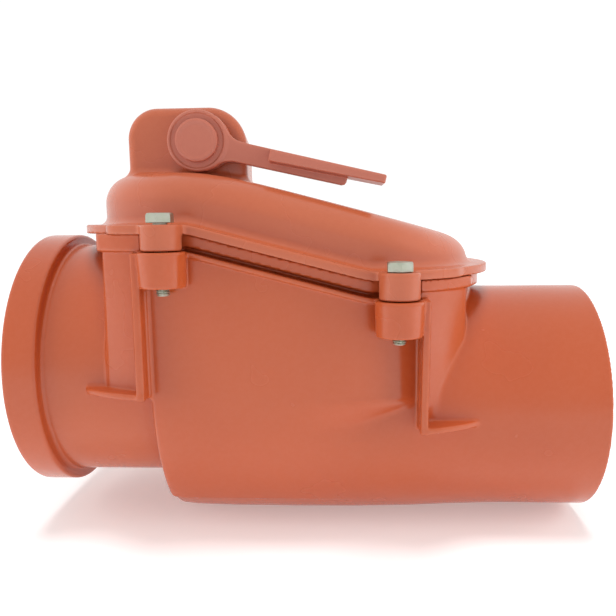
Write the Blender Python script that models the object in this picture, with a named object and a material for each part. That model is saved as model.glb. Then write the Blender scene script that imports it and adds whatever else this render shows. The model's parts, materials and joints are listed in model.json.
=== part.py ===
"""Backwater valve DN110 with hand lever.

Metres, +Z up.  Origin: centre of the outlet spigot's end face.  +X runs out of
the spigot, in the direction of flow.  The inlet socket is at -X and the lever
is on the -Y side.  Dimensions below are in millimetres.
"""
import bpy
import bmesh
import math
from mathutils import Matrix, Vector

for old in list(bpy.data.objects):
    bpy.data.objects.remove(old, do_unlink=True)

MM = 0.001

# ---------------------------------------------------------------- dimensions
SPIGOT_R = 55.0            # outlet spigot, 110 mm pipe size
SPIGOT_BORE_R = 51.8
INLET_Z = 19.9             # inlet axis above outlet axis
SOCKET_R = 57.9
SOCKET_BORE_R = 55.3
SOCKET_STOP_X = -206.0
BEAD_R = 63.05
BEAD_X0, BEAD_X1 = -266.1, -250.6
GROOVE_R = 59.9
GROOVE_X0, GROOVE_X1 = -262.6, -253.2
INLET_BORE_R = 51.0
SEAT_R = 54.4
CHAMBER_X0 = -199.6        # left face of the chamber barrel
WALL = 3.2

ARC_L, ARC_R = -173.8, -115.4      # centres of the cover outline's end arcs
FLANGE_R = 69.0
COLLAR_R = 65.0
DOME_R = 59.5
RIM_BORE_R = 57.6
LAND_L_X, LAND_R_X = -182.0, -104.5
LAND_L_Z, LAND_R_Z = 88.4, 67.9
FLANGE_T = 3.9
DOME_TOP_Z = 110.6
DOME_KNEE_X = -174.0
DOME_SLOPE = 0.2722
DOME_FILLET = 13.0
DOME_WALL = 3.0

BOLT_Y = 72.0
BOLT_L_X, BOLT_R_X = -190.0, -94.0
UP_BOSS_R = 8.3
LOW_BOSS_R = 10.0
LOW_BOSS_H = 14.6
BOSS_DROP = 10.3           # flange top down to the boss split
BOLT_R = 2.95
HEX_R = 10.0 / math.sqrt(3)
HEAD_H = 4.0

HUB_X0, HUB_X1, HUB_Z1 = -215.2, -160.0, 140.4
HUB_TAPER = 5.5            # the hub's outlet side leans in towards the rear
HUB_Y = 30.0
HUB_WALL = 3.6
SPINDLE = (-180.8, 124.4)          # lever axis, x and z
SPINDLE_R = 5.5
EYE_R = 13.3
EYE_Y0, EYE_Y1 = -39.4, -31.0
CAM_LEN = 28.0

HINGE = (-177.0, 80.0)             # flap axis, x and z
PIN_R = 2.5
TILT = math.radians(8.0)           # the seat leans so that the flap falls shut
FLAP_R = 54.3
FLAP_S = 59.8                      # hinge to flap centre
SEAT_N = 5.75                      # hinge plane to seat plane

D_X, D_Z = math.sin(TILT), -math.cos(TILT)
N_X, N_Z = -math.cos(TILT), -math.sin(TILT)


# ------------------------------------------------------------------ helpers
def smooth(t):
    t = min(1.0, max(0.0, t))
    return t * t * (3 - 2 * t)


def flange_z(x):
    """Height of the flange's top: two level lands with a slope between."""
    t = (x - LAND_L_X) / (LAND_R_X - LAND_L_X)
    t = min(1.0, max(0.0, t))
    return LAND_L_Z + (LAND_R_Z - LAND_L_Z) * t


def dome_z(x):
    return DOME_TOP_Z - DOME_SLOPE * max(0.0, x - DOME_KNEE_X)


def raw(verts, faces, name="raw"):
    """Object from millimetre points, faces turned outwards."""
    me = bpy.data.meshes.new(name)
    me.from_pydata([(v[0] * MM, v[1] * MM, v[2] * MM) for v in verts], [], faces)
    bm = bmesh.new()
    bm.from_mesh(me)
    bmesh.ops.remove_doubles(bm, verts=bm.verts, dist=1e-7)
    bmesh.ops.recalc_face_normals(bm, faces=bm.faces)
    bmesh.ops.triangulate(bm, faces=bm.faces)
    bm.to_mesh(me)
    bm.free()
    ob = bpy.data.objects.new(name, me)
    bpy.context.scene.collection.objects.link(ob)
    return ob


def turned(profile, place, n=40, ring=False, phase=0.0):
    """Turn (t, r) points; place(t, a, b) maps axis and cross coordinates."""
    verts, faces, rows = [], [], []
    for t, r in profile:
        if r <= 1e-9:
            rows.append([len(verts)] * n)
            verts.append(place(t, 0.0, 0.0))
        else:
            rows.append(list(range(len(verts), len(verts) + n)))
            for k in range(n):
                a = 2 * math.pi * k / n + phase
                verts.append(place(t, r * math.cos(a), r * math.sin(a)))
    m = len(rows)
    for i in range(m if ring else m - 1):
        a, b = rows[i], rows[(i + 1) % m]
        for k in range(n):
            q = [a[k], a[(k + 1) % n], b[(k + 1) % n], b[k]]
            u = []
            for v in q:
                if v not in u:
                    u.append(v)
            if len(u) > 2:
                faces.append(u)
    if not ring:
        for row in (rows[0], rows[-1]):
            if len(set(row)) > 1:
                faces.append(list(row))
    return raw(verts, faces)


def along_x(y0, z0):
    return lambda t, a, b: (t, y0 + a, z0 + b)


def along_y(x0, z0):
    return lambda t, a, b: (x0 + a, t, z0 + b)


def along_z(x0, y0):
    return lambda t, a, b: (x0 + a, y0 + b, t)


def flap_at(s, y, n):
    return (HINGE[0] + s * D_X + n * N_X, y, HINGE[1] + s * D_Z + n * N_Z)


def on_flap(s0, y0):
    return lambda t, a, b: flap_at(s0 + a, y0 + b, t)


def rod(r, t0, t1, place, n=32, phase=0.0):
    return turned([(t0, r), (t1, r)], place, n, phase=phase)


def slab(outline, lo, hi, place):
    """Extrude a 2-D outline; place(a, b, t) maps it."""
    n = len(outline)
    verts = [place(a, b, lo) for a, b in outline] + [place(a, b, hi) for a, b in outline]
    faces = [list(range(n))[::-1], list(range(n, 2 * n))]
    faces += [[i, (i + 1) % n, n + (i + 1) % n, n + i] for i in range(n)]
    return raw(verts, faces)


def xz(a, b, t):
    return (a, t, b)


def xy(a, b, t):
    return (a, b, t)


def box(x0, x1, y0, y1, z0, z1):
    return slab([(x0, y0), (x1, y0), (x1, y1), (x0, y1)], z0, z1, xy)


def arc(cx, cy, r, a0, a1, n):
    return [(cx + r * math.cos(math.radians(a0 + (a1 - a0) * i / n)),
             cy + r * math.sin(math.radians(a0 + (a1 - a0) * i / n))) for i in range(n + 1)]


NA, NS = 16, 4


def oval(r, cl=ARC_L, cr=ARC_R):
    """Round-ended outline, (x, y) points in order; r may depend on x."""
    pts = []
    for k in range(NA + 1):
        a = -math.pi / 2 + math.pi * k / NA
        pts.append((cr, math.cos(a), math.sin(a)))
    for k in range(1, NS):
        pts.append((cr + (cl - cr) * k / NS, 0.0, 1.0))
    for k in range(NA + 1):
        a = math.pi / 2 + math.pi * k / NA
        pts.append((cl, math.cos(a), math.sin(a)))
    for k in range(1, NS):
        pts.append((cl + (cr - cl) * k / NS, 0.0, -1.0))
    out = []
    for c, ux, uy in pts:
        rr = r(c + 59.0 * ux) if callable(r) else r
        out.append((c + rr * ux, rr * uy))
    return out


def oval_rings(rings, cap_first=True, cap_last=True, loop=False, cl=ARC_L, cr=ARC_R):
    """Loft ovals; each ring is (radius, height), both may depend on x."""
    verts, faces = [], []
    count = 2 * NA + 2 * NS
    for r, z in rings:
        for x, y in oval(r, cl, cr):
            verts.append((x, y, z(x) if callable(z) else z))
    m = len(rings)
    for i in range(m if loop else m - 1):
        a, b = i * count, ((i + 1) % m) * count
        for k in range(count):
            k2 = (k + 1) % count
            faces.append([a + k, a + k2, b + k2, b + k])
    for use, base in ((cap_first, 0), (cap_last, (m - 1) * count)):
        if use and not loop:
            h = NA // 2
            for t in range(count // 2):
                q = [base + (h + t) % count, base + (h + t + 1) % count,
                     base + (h - t - 1) % count, base + (h - t) % count]
                u = []
                for v in q:
                    if v not in u:
                        u.append(v)
                faces.append(u)
    return raw(verts, faces)


def combine(target, tool, how):
    """Boolean of two closed objects; the tool is used up."""
    mod = target.modifiers.new("cut", 'BOOLEAN')
    mod.operation = how
    mod.solver = 'EXACT'
    mod.object = tool
    bpy.context.view_layer.update()
    deps = bpy.context.evaluated_depsgraph_get()
    me = bpy.data.meshes.new_from_object(target.evaluated_get(deps))
    target.modifiers.clear()
    target.data = me
    bpy.data.objects.remove(tool, do_unlink=True)
    return target


def add(target, *tools):
    for t in tools:
        combine(target, t, 'UNION')
    return target


def cut(target, *tools):
    for t in tools:
        combine(target, t, 'DIFFERENCE')
    return target


def material(name, rgb, rough, metal=0.0):
    m = bpy.data.materials.new(name)
    m.use_nodes = True
    b = m.node_tree.nodes["Principled BSDF"]
    b.inputs["Base Color"].default_value = (rgb[0], rgb[1], rgb[2], 1.0)
    b.inputs["Roughness"].default_value = rough
    b.inputs["Metallic"].default_value = metal
    m.diffuse_color = (rgb[0], rgb[1], rgb[2], 1.0)
    return m


ORANGE = (0.53, 0.15, 0.07)
RUBBER = (0.02, 0.02, 0.02)
STEEL = (0.62, 0.61, 0.56)
WHITE = (0.75, 0.74, 0.70)


def finish(ob, name, rgb, rough=0.4, metal=0.0, origin=None, parent=None):
    ob.name = name
    ob.data.name = name
    ob.data.materials.clear()
    ob.data.materials.append(material(name, rgb, rough, metal))
    bm = bmesh.new()
    bm.from_mesh(ob.data)
    bmesh.ops.remove_doubles(bm, verts=bm.verts, dist=4e-6)
    bmesh.ops.dissolve_degenerate(bm, dist=1e-6, edges=bm.edges)
    bmesh.ops.dissolve_limit(bm, angle_limit=math.radians(0.2), use_dissolve_boundaries=False,
                             verts=bm.verts, edges=bm.edges, delimit={'NORMAL'})
    bmesh.ops.triangulate(bm, faces=bm.faces)
    slits = [e for e in bm.edges if len(e.link_faces) == 1]
    if slits:
        bmesh.ops.holes_fill(bm, edges=slits, sides=4)
    bmesh.ops.recalc_face_normals(bm, faces=bm.faces)
    bm.to_mesh(ob.data)
    bm.free()
    if origin is not None:
        o = Vector(origin) * MM
        ob.data.transform(Matrix.Translation(-o))
        if parent is not None:
            ob.parent = parent
            ob.location = o - parent.location
        else:
            ob.location = o
    ob.data.shade_smooth()
    ob.data.set_sharp_from_angle(angle=math.radians(32))
    return ob


def finish_all(parts, name, *rest):
    """Like pieces, numbered from 1."""
    for i, p in enumerate(parts):
        finish(p, "%s_%d" % (name, i + 1), *rest)


def empty(name, x, y, z):
    e = bpy.data.objects.new(name, None)
    e.location = (x * MM, y * MM, z * MM)
    e.empty_display_size = 0.02
    bpy.context.scene.collection.objects.link(e)
    return e


lever_axis = empty("lever_axis", SPINDLE[0], 0, SPINDLE[1])
flap_axis = empty("flap_axis", HINGE[0], 0, HINGE[1])
S_O = (SPINDLE[0], 0, SPINDLE[1])
H_O = (HINGE[0], 0, HINGE[1])
SIDES = (-1, 1)
BOSSES = [(BOLT_L_X, s * BOLT_Y, LAND_L_Z) for s in SIDES] + [(BOLT_R_X, s * BOLT_Y, LAND_R_Z) for s in SIDES]
FLANGE_UNDER = lambda x: flange_z(x) - FLANGE_T


# --------------------------------------------------------------- valve body
def tower_r(z):
    return 56.6 + 3.4 * smooth((z + 8) / 36) + 1.0 * smooth((z - 28) / 45)


RIM_TOP = lambda x: FLANGE_UNDER(x) - 0.3
COLLAR_H = lambda x: 7.0 - 1.7 * smooth((x + 186) / 4) + 1.0 * smooth((x + 98) / 4)

# barrel and spigot in one turned shape about the outlet axis
body = turned([(CHAMBER_X0, 0), (CHAMBER_X0, 52.0), (CHAMBER_X0 + 0.9, 54.6), (CHAMBER_X0 + 3.0, 56.1),
               (CHAMBER_X0 + 7.0, 56.8), (-172, 57.3), (-140, 57.5), (-110, 57.3), (-84, 56.6),
               (-62, 55.6), (-46, 55.1), (-36, SPIGOT_R), (-0.8, SPIGOT_R), (0, SPIGOT_R - 0.8), (0, 0)],
              along_x(0, 0), 40)
levels = [-7, 0, 8, 16, 26, 40]
tower = oval_rings([(tower_r(z), z) for z in levels] + [(61.0, lambda x: RIM_TOP(x) - 3.0)])
tower = cut(tower, box(-260, CHAMBER_X0 - 0.4, -90, 90, -20, 15.6))
body = add(body, tower)
body = add(body, oval_rings([(COLLAR_R, lambda x: RIM_TOP(x) - COLLAR_H(x)), (COLLAR_R, RIM_TOP)]))

# corner column between the inlet end's fin and the socket, with its own collar
def corner(r, x_end, x_in=-199.0, y_in=46.0, n=6, c=-186.5):
    """Plan outline: arc about (c, 0), cut off square at x_end."""
    a0 = math.acos((x_in - c) / r)
    a1 = math.acos((x_end - c) / r)
    return ([(x_in, y_in)] + [(c + r * math.cos(a0 + (a1 - a0) * k / n), r * math.sin(a0 + (a1 - a0) * k / n))
                              for k in range(n + 1)] + [(x_end, y_in)])


OUT_C = -116.3
for s in SIDES:
    flip = lambda a, b, t: (a, b * s, t)
    body = add(body, slab(corner(68.0, -219.3), 15.3, 80.0, flip),
               slab(corner(70.6, -221.4), LAND_L_Z - FLANGE_T - 7.3, LAND_L_Z - FLANGE_T - 0.3, flip),
               slab(corner(68.7, -61.0, -84.5, 22.0, c=OUT_C), -0.6, 61.0, flip),
               slab(corner(70.6, -58.6, -84.7, 20.0, c=OUT_C), LAND_R_Z - FLANGE_T - 5.0, LAND_R_Z - FLANGE_T - 0.3, flip))

# shelf between the two lower bosses of each side
shelf_top = lambda x: flange_z(x) - BOSS_DROP - 0.9
shelf = oval_rings([(68.5, lambda x: shelf_top(x) - 2.2), (68.5, shelf_top)])
shelf = cut(shelf, box(-260, LAND_L_X - 5, -90, 90, 20, 120), box(LAND_R_X + 5, -20, -90, 90, 20, 120),
            box(-190, -90, -50, 50, 20, 120))
body = add(body, shelf)

# side walls, standing further out than the round tower and fading into the barrel


def side_r(out, inside):
    """Half width that drops to the hidden width inside towards the outlet fin."""
    return lambda x: inside + (out - inside) * smooth((-86.0 - x) / 34.0)


sides = oval_rings([(42.0, -38.0), (side_r(51.6, 49.6), -27.0), (side_r(59.2, 55.0), -13.0), (side_r(63.4, 56.2), -4.0),
                    (side_r(64.9, 62.0), 4.0), (65.7, 14.0), (66.3, 30.0), (66.5, lambda x: shelf_top(x) - 1.0)],
                   cl=-186.5, cr=OUT_C)
sides = cut(sides, box(-270, CHAMBER_X0 - 0.2, -90, 90, -45, 130), box(-84.1, -30, -90, 90, -45, 130),
            box(-210, -70, -40.0, 40.0, -45, 130))
body = add(body, sides)

# bolt bosses, each with its fin and foot rib
for bx, by, land in BOSSES:
    top = land - BOSS_DROP - 0.9
    body = add(body, rod(LOW_BOSS_R, top - LOW_BOSS_H, top, along_z(bx, by), 24))
for s in SIDES:
    fin = slab([(-45, 15.0), (-73.2, 15.0), (-72.2, 76.6), (-45, 76.6)], -203.3, -199.7,
               lambda a, b, t: (t, a * -s, b))
    body = add(body, fin)
    fin = slab([(-42, -1.2), (-67.2, -1.2), (-72.2, 56.3), (-45, 56.3)], -84.3, -81.1,
               lambda a, b, t: (t, a * -s, b))
    body = add(body, fin)
    rim = [(-200.4, 40.0), (-200.4, 73.2)] + [(-186.5 - math.sqrt(74.6 ** 2 - y * y), y)
                                             for y in (72.6, 71.0, 68.5, 65.5, 61.0)] + [(-229.5, 40.0)]
    foot = slab(rim, 15.0, 17.6, lambda a, b, t: (a, b * s, t))
    body = add(body, foot)
    rim = [(-84.0, 45.0), (-84.0, 67.2), (-80.2, 67.2), (-75.8, 66.3), (-70.0, 63.6), (-64.0, 60.3), (-59.0, 56.6),
           (-54.0, 52.0), (-54.0, 45.0)]
    foot = slab(rim, -0.9, 1.75, lambda a, b, t: (a, b * s, t))
    body = add(body, foot)

# hollow: barrel, tower and spigot bore
body = cut(body, turned([(CHAMBER_X0 + 3.4, 0), (CHAMBER_X0 + 3.4, 50), (CHAMBER_X0 + 6.5, 53.2), (-170, 54.1),
                         (-120, 54.1), (-84, 53.3), (-60, 52.3), (-42, SPIGOT_BORE_R), (5, SPIGOT_BORE_R), (5, 0)],
                        along_x(0, 0), 40))
room = oval_rings([(tower_r(z) - WALL, z) for z in (-5, 3, 12, 22, 40)] + [(RIM_BORE_R, 58), (RIM_BORE_R, 110)])
room = cut(room, box(-260, CHAMBER_X0 + 3.3, -90, 90, -20, 20.4))
body = cut(body, room)
body = cut(body, oval_rings([(62.9, lambda x: RIM_TOP(x) - 2.3), (62.9, lambda x: RIM_TOP(x) + 4),
                             (59.7, lambda x: RIM_TOP(x) + 4), (59.7, lambda x: RIM_TOP(x) - 2.3)], loop=True))

# inlet: socket with bead, and the tube that carries the seat
socket = turned([(BEAD_X0, 0), (BEAD_X0, BEAD_R - 1.4), (BEAD_X0 + 0.5, BEAD_R - 0.5), (BEAD_X0 + 1.6, BEAD_R),
                 (BEAD_X1 - 1.2, BEAD_R), (BEAD_X1 - 0.3, BEAD_R - 0.6), (BEAD_X1, BEAD_R - 1.6),
                 (BEAD_X1 + 0.5, SOCKET_R + 1.3), (BEAD_X1 + 1.8, SOCKET_R + 0.3), (BEAD_X1 + 3.6, SOCKET_R),
                 (CHAMBER_X0 + 2.0, SOCKET_R), (CHAMBER_X0 + 2.0, 0)], along_x(0, INLET_Z), 40)
body = add(body, socket)


def seat_x(z):
    cx = HINGE[0] + SEAT_N * N_X
    cz = HINGE[1] + SEAT_N * N_Z
    return cx + (z - cz) * D_X / D_Z


def leaning(t, a, b):
    z = INLET_Z + b
    return (CHAMBER_X0 + 0.5 if t == 0 else seat_x(z), a, z)


body = add(body, turned([(0, SEAT_R), (1, SEAT_R)], leaning, 40))
for s in SIDES:
    ear = slab([(-198.2, 66.9), (-184.9, 66.9), (-183.3, 73.5), (-181.0, 76.6), (-177.5, 75.4), (-173.4, 77.0),
                (-172.1, 80.5), (-173.8, 84.0), (-177.4, 85.2), (-182.0, 84.4), (-198.2, 76.0)],
               21.0, 25.0, lambda a, b, t: (a, t * s, b))
    body = add(body, ear)
body = cut(body, turned([(-270, SOCKET_BORE_R + 3.9), (BEAD_X0, SOCKET_BORE_R + 1.6), (BEAD_X0 + 2.2, SOCKET_BORE_R),
                         (SOCKET_STOP_X, SOCKET_BORE_R), (SOCKET_STOP_X, INLET_BORE_R), (-150, INLET_BORE_R)],
                        along_x(0, INLET_Z), 40),
           turned([(GROOVE_X0, 50), (GROOVE_X0, GROOVE_R), (GROOVE_X1, GROOVE_R), (GROOVE_X1, 50)],
                  along_x(0, INLET_Z), 40, ring=True))
body = cut(body, rod(PIN_R + 0.08, -40, 40, along_y(*HINGE), 16))
for bx, by, land in BOSSES:
    low = land - BOSS_DROP - 0.9 - LOW_BOSS_H
    body = cut(body, rod(BOLT_R + 0.35, low - 5, land + 5, along_z(bx, by), 16),
               rod(HEX_R + 0.35, low - 0.5, low + 6.6, along_z(bx, by), 6, math.pi / 2))
finish(body, "valve_body", ORANGE, 0.38)

# ------------------------------------------------------------------- cover
def fillet(x, wall):
    return min(DOME_FILLET, 0.85 * (dome_z(x) - flange_z(x))) - wall * 0.6


def dome_ring(deg, wall):
    a = math.radians(deg)
    r = lambda x: DOME_R - 0.5 - wall - fillet(x, wall) * (1 - math.cos(a))
    z = lambda x: dome_z(x) - wall - fillet(x, wall) * (1 - math.sin(a))
    return (r, z)


degs = (0, 22.5, 45, 67.5, 90)
outer = [(FLANGE_R, FLANGE_UNDER), (FLANGE_R, flange_z), (DOME_R + 2.2, flange_z),
         (DOME_R + 0.5, lambda x: flange_z(x) + 0.7), (DOME_R - 0.2, lambda x: flange_z(x) + 2.4)]
outer += [dome_ring(d, 0.0) for d in degs]
outer += [(24.0, lambda x: dome_z(min(x, -86.0)) + 0.6 - DOME_SLOPE * max(0.0, x + 86.0))]
inner = [(24.0, lambda x: dome_z(min(x, -86.0)) - DOME_WALL + 0.5 - DOME_SLOPE * max(0.0, x + 86.0))]
inner += [dome_ring(d, DOME_WALL) for d in degs[::-1]]
inner += [(DOME_R - DOME_WALL - 0.3, FLANGE_UNDER)]


def shell(out_rings, in_rings):
    """Closed shell: outer and inner surface, joined round the lower edge."""
    count = 2 * NA + 2 * NS
    verts, faces = [], []
    rings = out_rings + in_rings
    for r, z in rings:
        for x, y in oval(r):
            verts.append((x, y, z(x)))
    m = len(rings)
    for i in range(m):
        if i == len(out_rings) - 1:
            continue
        a, b = i * count, ((i + 1) % m) * count
        for k in range(count):
            k2 = (k + 1) % count
            faces.append([a + k, a + k2, b + k2, b + k])
    h = NA // 2
    for base in ((len(out_rings) - 1) * count, len(out_rings) * count):
        for t in range(count // 2):
            q = [base + (h + t) % count, base + (h + t + 1) % count,
                 base + (h - t - 1) % count, base + (h - t) % count]
            u = []
            for v in q:
                if v not in u:
                    u.append(v)
            faces.append(u)
    return raw(verts, faces)


cover = shell(outer, inner)
hub_line = ([(HUB_X0, 104.0)] + [(x, z) for x, z in arc(HUB_X0 + 14.0, HUB_Z1 - 14.0, 14.0, 180, 90, 6)]
            + [(x, z) for x, z in arc(HUB_X1 - 17.5, HUB_Z1 - 17.5, 17.5, 90, 0, 7)] + [(HUB_X1, 103.5)])


def lean(ob):
    """Taper the outlet side of the hub in plan."""
    for v in ob.data.vertices:
        if v.co.x > -185 * MM:
            v.co.x -= HUB_TAPER * MM * (v.co.y / MM + HUB_Y) / (2 * HUB_Y)
    return ob


hub = lean(slab(hub_line, -HUB_Y, HUB_Y, xz))
bev = hub.modifiers.new("round", 'BEVEL')
bev.width = 0.0022
bev.segments = 2
bev.limit_method = 'ANGLE'
bev.angle_limit = math.radians(40)
cover = add(cover, hub)
hollow = lean(slab([(HUB_X0 + HUB_WALL, 96.0)] + arc(HUB_X0 + 14.0, HUB_Z1 - 14.0, 14.0 - HUB_WALL, 180, 90, 5)
              + arc(HUB_X1 - 17.5, HUB_Z1 - 17.5, 17.5 - HUB_WALL, 90, 0, 5) + [(HUB_X1 - HUB_WALL, 96.0)],
              -HUB_Y + HUB_WALL, HUB_Y - HUB_WALL, xz))
cover = cut(cover, hollow)
for s in SIDES:
    cover = add(cover, rod(11.0, s * (HUB_Y - 2.0), s * 19.0, along_y(*SPINDLE), 24))
cover = cut(cover, rod(8.2, -34, -15, along_y(*SPINDLE), 24), rod(8.2, 15, 27.6, along_y(*SPINDLE), 24))
for s in SIDES:
    flip = lambda a, b, t: (a, b * s, t)
    cover = add(cover, slab(corner(72.0, -216.3, -190.0), LAND_L_Z - FLANGE_T + 0.05, LAND_L_Z - 0.05, flip),
                slab(corner(72.0, -65.0, -93.0, c=OUT_C), LAND_R_Z - FLANGE_T + 0.05, LAND_R_Z - 0.05, flip))
for bx, by, land in BOSSES:
    cover = add(cover, rod(UP_BOSS_R, land - BOSS_DROP, land + 0.12, along_z(bx, by), 24))
for bx, by, land in BOSSES:
    cover = cut(cover, rod(BOLT_R + 0.35, land - 20, land + 10, along_z(bx, by), 16))
finish(cover, "valve_cover", ORANGE, 0.38)

# ------------------------------------------------------------ static pieces
gasket = oval_rings([(62.6, lambda x: RIM_TOP(x) - 2.0), (62.6, lambda x: RIM_TOP(x) + 0.0),
                     (60.0, lambda x: RIM_TOP(x) + 0.0), (60.0, lambda x: RIM_TOP(x) - 2.0)], loop=True)
finish(gasket, "cover_gasket", RUBBER, 0.7)

seal = turned([(GROOVE_X0 + 0.35, GROOVE_R - 0.35), (GROOVE_X1 - 0.35, GROOVE_R - 0.35), (GROOVE_X1 - 0.35, 57.0),
               (GROOVE_X1 - 1.6, 54.3), (GROOVE_X1 - 3.0, 53.6), (GROOVE_X0 + 3.4, 55.2), (GROOVE_X0 + 2.0, 54.7),
               (GROOVE_X0 + 0.35, 55.6)], along_x(0, INLET_Z), 40, ring=True)
finish(seal, "socket_seal_ring", RUBBER, 0.7)

bolts, nuts = [], []
for bx, by, land in BOSSES:
    foot_z = land - 29.2
    head0 = land + 0.42
    b = turned([(foot_z, 0), (foot_z, BOLT_R - 0.7), (foot_z + 0.7, BOLT_R), (head0 + 0.5, BOLT_R),
                (head0 + 0.5, 0)], along_z(bx, by), 16)
    h = turned([(head0, 0), (head0, HEX_R), (head0 + HEAD_H - 0.6, HEX_R), (head0 + HEAD_H, HEX_R - 0.9),
                (head0 + HEAD_H, 0)], along_z(bx, by), 6, phase=math.pi / 2)
    bolts.append(add(b, h))
    low = land - BOSS_DROP - 0.9 - LOW_BOSS_H
    nut = rod(HEX_R, low + 1.0, low + 6.2, along_z(bx, by), 6, math.pi / 2)
    nuts.append(cut(nut, rod(BOLT_R + 0.3, low - 3, low + 9, along_z(bx, by), 16)))
finish_all(bolts, "cover_bolt", STEEL, 0.3, 1.0)
finish_all(nuts, "bolt_nut", STEEL, 0.35, 1.0)

bush = turned([(-29.9, SPINDLE_R + 0.08), (-29.9, 7.9), (-19.2, 7.9), (-19.2, SPINDLE_R + 0.08)],
              along_y(*SPINDLE), 24, ring=True)
finish(bush, "spindle_bush_front", WHITE, 0.5)
bush = turned([(19.2, SPINDLE_R + 0.08), (19.2, 7.9), (27.2, 7.9), (27.2, SPINDLE_R + 0.08)],
              along_y(*SPINDLE), 24, ring=True)
finish(bush, "spindle_bush_rear", WHITE, 0.5)

pin = turned([(-28.6, 0), (-28.6, PIN_R - 0.4), (-28.2, PIN_R), (28.2, PIN_R), (28.6, PIN_R - 0.4), (28.6, 0)],
             along_y(*HINGE), 16)
for s in SIDES:
    pin = cut(pin, turned([(s * 25.5, 1.9), (s * 26.7, 1.9), (s * 26.7, 6), (s * 25.5, 6)], along_y(*HINGE), 16, ring=True))
finish(pin, "flap_hinge_pin", STEEL, 0.3, 1.0)
clips = [turned([(s * 25.7, 2.05), (s * 26.5, 2.05), (s * 26.5, 4.6), (s * 25.7, 4.6)], along_y(*HINGE), 16, ring=True)
         for s in SIDES]
finish_all(clips, "hinge_pin_clip", STEEL, 0.35, 1.0)

# ------------------------------------------------------- spindle and lever
spindle = turned([(-30.4, 0), (-30.4, SPINDLE_R - 0.4), (-30.0, SPINDLE_R), (-27.6, SPINDLE_R), (-27.6, 4.2), (-26.0, 4.2),
                  (-26.0, SPINDLE_R), (-24.2, SPINDLE_R), (-24.2, 4.2), (-22.6, 4.2), (-22.6, SPINDLE_R),
                  (-18.9, SPINDLE_R), (-18.9, 4.5), (-17.5, 4.5), (-17.5, SPINDLE_R), (26.4, SPINDLE_R),
                  (26.9, SPINDLE_R - 0.5), (26.9, 0)], along_y(*SPINDLE), 24)
ca, sa = math.cos(math.radians(-13.3)), math.sin(math.radians(-13.3))


def lever_xz(u, v):
    """Point of the lever: u along the arm, v across it, from the lever axis."""
    return (SPINDLE[0] + u * ca - v * sa, SPINDLE[1] + u * sa + v * ca)


def square(h):
    return [lever_xz(-h, -h), lever_xz(h, -h), lever_xz(h, h), lever_xz(-h, h)]


spindle = add(spindle, slab(square(3.7), -36.6, -30.0, xz))
spindle = cut(spindle, rod(1.75, -40, -26, along_y(*SPINDLE), 16))
spindle = cut(spindle, rod(1.8, SPINDLE[1] - 12, SPINDLE[1] + 12, along_z(SPINDLE[0], 0), 16))
finish(spindle, "spindle", STEEL, 0.3, 1.0, S_O, lever_axis)

rings = [turned([(y + 0.5 * math.sin(a), 4.92 + 0.5 * math.cos(a)) for a in [2 * math.pi * k / 8 for k in range(6)]],
                along_y(*SPINDLE), 16, ring=True) for y in (-26.8, -23.4)]
finish_all(rings, "spindle_o_ring", RUBBER, 0.6, 0.0, S_O, lever_axis)
clip = turned([(-18.6, 4.7), (-17.8, 4.7), (-17.8, 8.0), (-18.6, 8.0)], along_y(*SPINDLE), 20, ring=True)
finish(clip, "spindle_circlip", STEEL, 0.35, 1.0, S_O, lever_axis)

# lever outline in its own (u, v) frame: round eye, curved neck, web
eye = [(EYE_R * math.cos(math.radians(a)), EYE_R * math.sin(math.radians(a))) for a in range(60, 305, 12)]
neck_top = [(9.9, 9.4), (11.2, 8.0), (12.8, 6.3), (14.8, 4.9), (17.2, 4.0), (20.0, 3.62), (33.0, 3.58), (34.0, 3.3)]
web_end = [(67.6, 0.4), (68.5, -0.8), (68.5, -3.2), (67.5, -4.5), (66.0, -4.96)]
neck_low = [(26.5, -5.33), (17.2, -5.42), (14.0, -6.3), (11.6, -7.9), (9.8, -9.6)]
lever_line = [lever_xz(u, v) for u, v in eye + neck_low[::-1] + web_end[::-1] + [(34.0, 0.6)] + neck_top[::-1]]
lever = slab(lever_line, -39.0, -32.0, xz)
lever = add(lever, rod(EYE_R, EYE_Y0, EYE_Y1, along_y(*SPINDLE), 28))
grip = slab([lever_xz(u, v) for u, v in [(33.6, -2.2), (83.8, -0.72), (84.8, 0.2), (84.8, 2.1), (83.9, 2.97), (33.6, 2.97)]],
            -47.5, -23.5, xz)
lever = add(lever, grip)
lever = cut(lever, slab(square(4.0), -45, -25, xz), rod(7.6, -45, -36.9, along_y(*SPINDLE), 24),
            turned([(-45, 10.2), (-38.5, 10.2), (-38.5, 11.0), (-45, 11.0)], along_y(*SPINDLE), 24, ring=True))
finish(lever, "lever", ORANGE, 0.38, 0.0, S_O, lever_axis)

cap = turned([(-39.9, 0), (-39.9, 6.0), (-37.9, 6.0), (-37.9, 7.2), (-39.7, 7.2), (-39.7, 9.4), (-40.9, 9.4),
              (-41.4, 8.8), (-41.4, 0)], along_y(*SPINDLE), 28)
finish(cap, "spindle_cap", ORANGE, 0.38, 0.0, S_O, lever_axis)
screw = turned([(-39.5, 0), (-39.5, 3.2), (-38.9, 3.8), (-37.0, 3.8), (-37.0, 1.45), (-28, 1.45), (-28, 0)],
               along_y(*SPINDLE), 24)
finish(screw, "lever_screw", STEEL, 0.35, 1.0, S_O, lever_axis)

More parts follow.
